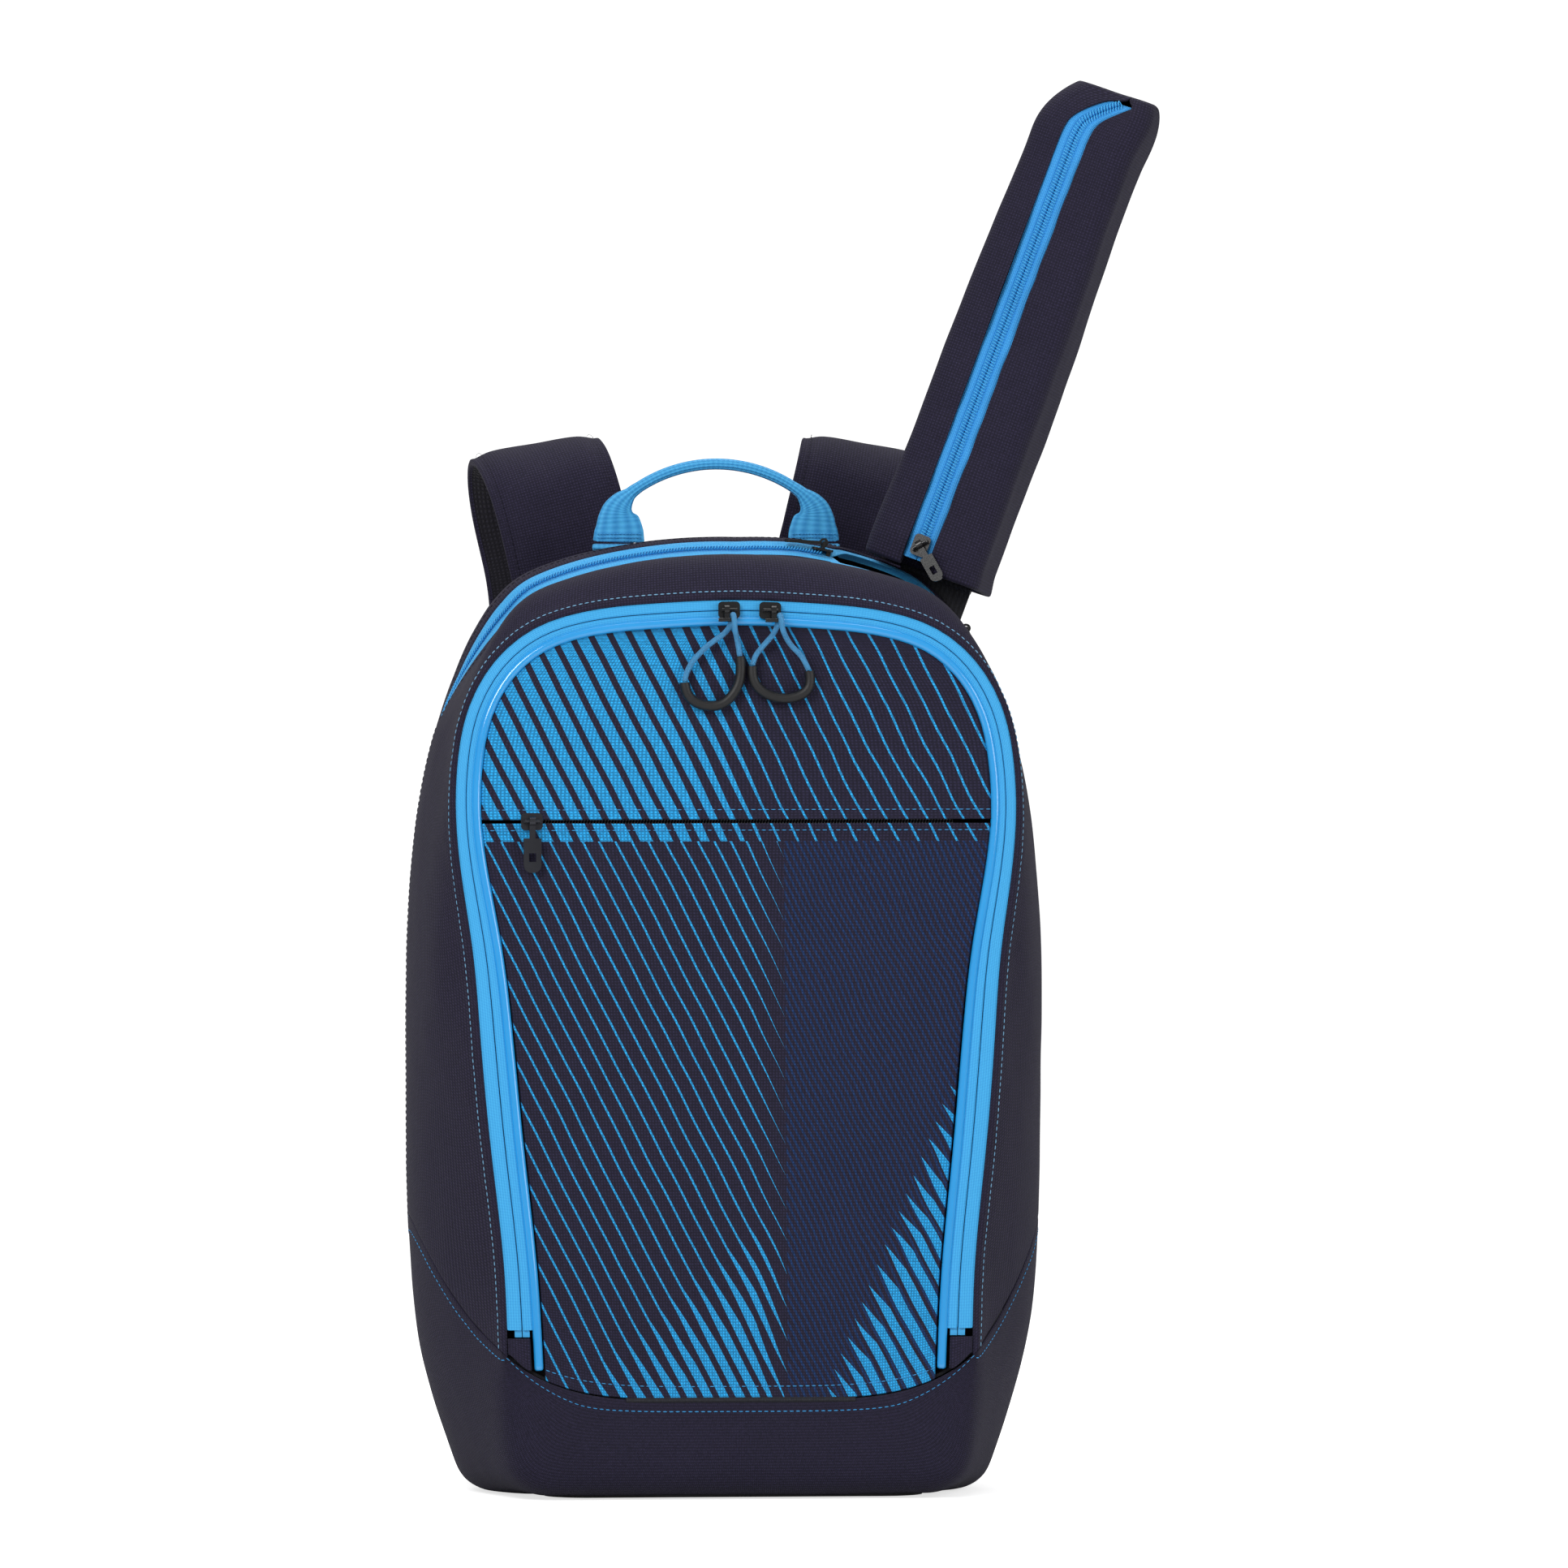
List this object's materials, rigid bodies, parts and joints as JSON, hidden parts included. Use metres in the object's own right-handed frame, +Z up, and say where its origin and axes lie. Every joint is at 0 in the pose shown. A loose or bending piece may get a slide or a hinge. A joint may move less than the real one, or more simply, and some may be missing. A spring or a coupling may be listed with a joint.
{
  "type": "racket backpack",
  "caption": "Arch-shaped backpack with a zipped front section, a printed front flap, padded shoulder straps and a leaning zipped hood over a racket handle.",
  "frame": {"origin": "middle of the flat underside of the base", "axes": "+Z up, -Y out of the printed front, +Y towards the wearer, +X to the right seen from the front"},
  "size_m": [0.3801, 0.2664, 0.7147],
  "materials": {
    "dark_polyester": "near-black woven polyester",
    "printed_polyester": "woven polyester with a printed stripe",
    "lining": "thin woven lining",
    "board": "stiff plastic sheet",
    "black_mesh": "foam padding under knitted mesh",
    "blue_zip_tape": "woven zip tape",
    "blue_coil": "nylon coil",
    "black_zip": "woven zip tape with nylon coil",
    "blue_piping": "glossy vinyl piping",
    "black_metal": "black lacquered zinc",
    "blue_cord": "braided cord",
    "black_grip": "matte moulded rubber",
    "blue_webbing": "woven webbing",
    "black_webbing": "woven webbing",
    "black_plastic": "moulded acetal"
  },
  "bodies": {
    "root": {"back_panel": "dark_polyester", "rear_gusset": "dark_polyester", "boot": "dark_polyester", "base_panel": "dark_polyester", "base_board": "board", "racket_divider": "lining", "frame_sheet": "board", "back_pad_left": "black_mesh", "back_pad_right": "black_mesh", "lumbar_pad": "black_mesh", "main_zip_coil_rear": "blue_coil", "main_zip_tape_rear": "blue_zip_tape", "boot_seam_roll": "dark_polyester", "hood_flange": "dark_polyester", "handle_anchors": "blue_webbing", "yoke": "dark_polyester", "lower_webbing_left": "black_webbing", "lower_webbing_right": "black_webbing", "strap_anchors": "dark_polyester"},
    "front_section": {"front_band": "dark_polyester", "pocket_wall": "lining", "main_zip_coil_front": "blue_coil", "main_zip_tape_front": "blue_zip_tape", "front_zip_tape_outer": "blue_zip_tape", "front_zip_coil_outer": "blue_coil", "zip_garages": "dark_polyester"},
    "front_flap": {"upper_panel": "printed_polyester", "lower_panel": "printed_polyester", "panel_piping": "blue_piping", "front_zip_tape_inner": "blue_zip_tape", "front_zip_coil_inner": "blue_coil", "stash_zip_tape": "black_zip", "stash_zip_coil": "black_zip", "stash_pouch": "lining"},
    "hood": {"hood_shell": "dark_polyester", "hood_zip_tape": "blue_zip_tape", "hood_zip_coil": "blue_coil"},
    "front_loop_left": {"front_cord_left": "blue_cord", "front_grip_left": "black_grip"},
    "front_loop_right": {"front_cord_right": "blue_cord", "front_grip_right": "black_grip"},
    "main_slider_left": {"main_slider_left": "black_metal"},
    "main_pull_left": {"main_pull_left": "black_metal"},
    "main_slider_right": {"main_slider_right": "black_metal"},
    "main_pull_right": {"main_pull_right": "black_metal"},
    "front_slider_left": {"front_slider_left": "black_metal"},
    "front_tab_left": {"front_tab_left": "black_metal"},
    "front_slider_right": {"front_slider_right": "black_metal"},
    "front_tab_right": {"front_tab_right": "black_metal"},
    "stash_slider": {"stash_slider": "black_metal"},
    "stash_pull": {"stash_pull": "black_metal"},
    "hood_slider": {"hood_slider": "black_metal"},
    "hood_pull": {"hood_pull": "black_metal"},
    "haul_handle": {"haul_handle": "blue_webbing"},
    "shoulder_strap_left": {"shoulder_strap_left": "black_mesh"},
    "shoulder_strap_right": {"shoulder_strap_right": "black_mesh"},
    "ladder_lock_left": {"ladder_lock_left": "black_plastic"},
    "ladder_lock_right": {"ladder_lock_right": "black_plastic"}
  },
  "joints": [
    {"name": "front_section_open", "type": "hinge", "parent": "root", "child": "front_section", "pos_m": [0, -0.09325, 0.05], "axis": [1, 0, 0], "range_deg": [0, 35], "deforming": ["main_zip_tape_front", "main_zip_coil_front"]},
    {"name": "front_flap_open", "type": "hinge", "parent": "front_section", "child": "front_flap", "pos_m": [0, -0.09325, 0.05], "axis": [1, 0, 0], "range_deg": [0, 55], "deforming": ["front_zip_tape_outer", "front_zip_coil_outer"]},
    {"name": "main_slider_left_travel", "type": "hinge", "parent": "root", "child": "main_slider_left", "pos_m": [0, 0.015, 0.217], "axis": [0, -1, 0], "range_deg": [0, 30.8], "deforming": ["main_zip_coil_front", "main_zip_coil_rear"]},
    {"name": "main_pull_left_swing", "type": "hinge", "parent": "main_slider_left", "child": "main_pull_left", "pos_m": [0.05303, 0.015, 0.48098], "axis": [0, 1, 0], "range_deg": [0, 150]},
    {"name": "main_slider_right_travel", "type": "hinge", "parent": "root", "child": "main_slider_right", "pos_m": [-0.05217, 0.015, 0.32382], "axis": [0, 1, 0], "range_deg": [0, 24], "deforming": ["main_zip_coil_front", "main_zip_coil_rear"]},
    {"name": "main_pull_right_swing", "type": "hinge", "parent": "main_slider_right", "child": "main_pull_right", "pos_m": [0.12599, 0.015, 0.43733], "axis": [0, -1, 0], "range_deg": [0, 90]},
    {"name": "stash_slider_travel", "type": "slide", "parent": "front_flap", "child": "stash_slider", "axis": [1, 0, 0], "range_m": [0, 0.2], "deforming": ["stash_zip_coil"]},
    {"name": "stash_pull_swing", "type": "hinge", "parent": "stash_slider", "child": "stash_pull", "pos_m": [-0.1038, -0.07666, 0.3414], "axis": [-1, 0, 0], "range_deg": [0, 100]},
    {"name": "hood_tilt", "type": "hinge", "parent": "root", "child": "hood", "pos_m": [0.11342, 0.03873, 0.46241], "axis": [-0.8908, 0.309, 0.3331], "range_deg": [0, 25]},
    {"name": "hood_slider_travel", "type": "slide", "parent": "hood", "child": "hood_slider", "axis": [0.3533, 0.0102, 0.9355], "range_m": [0, 0.2], "deforming": ["hood_zip_coil"]},
    {"name": "hood_pull_swing", "type": "hinge", "parent": "hood_slider", "child": "hood_pull", "pos_m": [0.09916, -0.01172, 0.48009], "axis": [-0.8433, 0.1908, -0.5025], "range_deg": [0, 100]},
    {"name": "haul_handle_swing", "type": "hinge", "parent": "root", "child": "haul_handle", "pos_m": [0, 0.036, 0.47852], "axis": [1, 0, 0], "range_deg": [-70, 70]},
    {"name": "front_slider_left_travel", "type": "hinge", "parent": "front_flap", "child": "front_slider_left", "pos_m": [0, -0.09896, -0.0475], "axis": [0, -0.9972, 0.0748], "range_deg": [0, 8.3], "deforming": ["front_zip_coil_inner", "front_zip_coil_outer", "front_zip_tape_inner"]},
    {"name": "front_tab_left_swing", "type": "hinge", "parent": "front_slider_left", "child": "front_tab_left", "pos_m": [-0.0048, -0.07008, 0.44785], "axis": [-1, 0, 0], "range_deg": [0, 100]},
    {"name": "front_loop_left_swing", "type": "hinge", "parent": "front_tab_left", "child": "front_loop_left", "pos_m": [-0.0048, -0.07217, 0.44276], "axis": [-1, 0, 0], "range_deg": [0, 70]},
    {"name": "front_slider_right_travel", "type": "hinge", "parent": "front_flap", "child": "front_slider_right", "pos_m": [0, -0.09896, -0.0475], "axis": [0, 0.9972, -0.0748], "range_deg": [0, 6.6], "deforming": ["front_zip_coil_inner", "front_zip_coil_outer", "front_zip_tape_inner"]},
    {"name": "front_tab_right_swing", "type": "hinge", "parent": "front_slider_right", "child": "front_tab_right", "pos_m": [0.019, -0.07011, 0.4475], "axis": [-1, 0, 0], "range_deg": [0, 100]},
    {"name": "front_loop_right_swing", "type": "hinge", "parent": "front_tab_right", "child": "front_loop_right", "pos_m": [0.019, -0.07219, 0.44242], "axis": [-1, 0, 0], "range_deg": [0, 70]},
    {"name": "shoulder_strap_left_swing", "type": "hinge", "parent": "root", "child": "shoulder_strap_left", "pos_m": [-0.066, 0.0898, 0.459], "axis": [0.9659, 0, 0.2588], "range_deg": [-4, 10], "deforming": ["lower_webbing_left"]},
    {"name": "ladder_lock_left_swing", "type": "hinge", "parent": "shoulder_strap_left", "child": "ladder_lock_left", "pos_m": [-0.107, 0.1388, 0.209], "axis": [1, 0, 0], "range_deg": [0, 40], "deforming": ["lower_webbing_left"]},
    {"name": "shoulder_strap_right_swing", "type": "hinge", "parent": "root", "child": "shoulder_strap_right", "pos_m": [0.066, 0.0898, 0.459], "axis": [0.9659, 0, -0.2588], "range_deg": [-4, 10], "deforming": ["lower_webbing_right"]},
    {"name": "ladder_lock_right_swing", "type": "hinge", "parent": "shoulder_strap_right", "child": "ladder_lock_right", "pos_m": [0.107, 0.1388, 0.209], "axis": [1, 0, 0], "range_deg": [0, 40], "deforming": ["lower_webbing_right"]}
  ]
}
